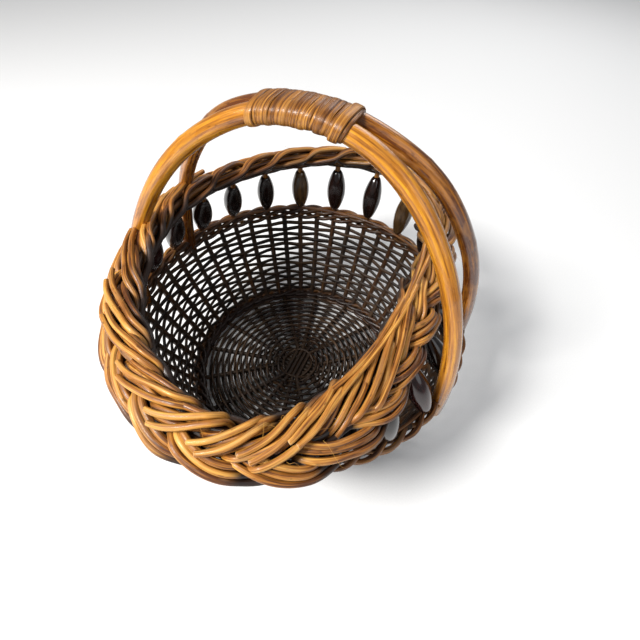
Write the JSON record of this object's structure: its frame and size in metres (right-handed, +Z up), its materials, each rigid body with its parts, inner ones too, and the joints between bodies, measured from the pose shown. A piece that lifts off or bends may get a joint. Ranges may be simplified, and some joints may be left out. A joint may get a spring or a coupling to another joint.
{
  "type": "woven fruit basket",
  "caption": "Round woven cane fruit basket with a beaded gallery, a wide plaited rim and a fixed bow handle bound with split cane.",
  "frame": {"origin": "centre of the round base, on the surface that the basket stands on", "axes": "+Z up; +X along the handle's span, towards the side where the handle stands clear of the rim; +Y completes the right-handed frame"},
  "size_m": [0.199, 0.2271, 0.1869],
  "materials": {
    "honey_cane": "satin, honey-coloured cane rods",
    "dark_cane": "satin, dark brown stained cane weave",
    "amber_rod": "glossy varnish on thick amber rattan",
    "split_cane": "semi-gloss flat split-cane lapping",
    "lacquered_bead": "high-gloss near-black brown lacquer"
  },
  "bodies": {
    "root": {"bead_01": "lacquered_bead", "bead_02": "lacquered_bead", "bead_03": "lacquered_bead", "bead_04": "lacquered_bead", "bead_05": "lacquered_bead", "bead_06": "lacquered_bead", "bead_07": "lacquered_bead", "bead_08": "lacquered_bead", "bead_09": "lacquered_bead", "bead_10": "lacquered_bead", "bead_11": "lacquered_bead", "bead_12": "lacquered_bead", "bead_13": "lacquered_bead", "bead_14": "lacquered_bead", "bead_15": "lacquered_bead", "bead_16": "lacquered_bead", "bead_17": "lacquered_bead", "bead_18": "lacquered_bead", "bead_19": "lacquered_bead", "bead_20": "lacquered_bead", "bead_21": "lacquered_bead", "bead_22": "lacquered_bead", "bead_23": "lacquered_bead", "bead_24": "lacquered_bead", "stake_01": "honey_cane", "stake_02": "honey_cane", "stake_03": "honey_cane", "stake_04": "honey_cane", "stake_05": "honey_cane", "stake_06": "honey_cane", "stake_07": "honey_cane", "stake_08": "honey_cane", "stake_09": "honey_cane", "stake_10": "honey_cane", "stake_11": "honey_cane", "stake_12": "honey_cane", "stake_13": "honey_cane", "stake_14": "honey_cane", "stake_15": "honey_cane", "stake_16": "honey_cane", "stake_17": "honey_cane", "stake_18": "honey_cane", "stake_19": "honey_cane", "stake_20": "honey_cane", "stake_21": "honey_cane", "stake_22": "honey_cane", "stake_23": "honey_cane", "stake_24": "honey_cane", "base_sticks": "dark_cane", "base_weave": "dark_cane", "foot_wale": "honey_cane", "wall_weave": "dark_cane", "top_wale": "honey_cane", "plaited_rim": "honey_cane", "handle_rod_front": "amber_rod", "handle_rod_back": "amber_rod", "handle_wrap": "split_cane"}
  },
  "joints": []
}
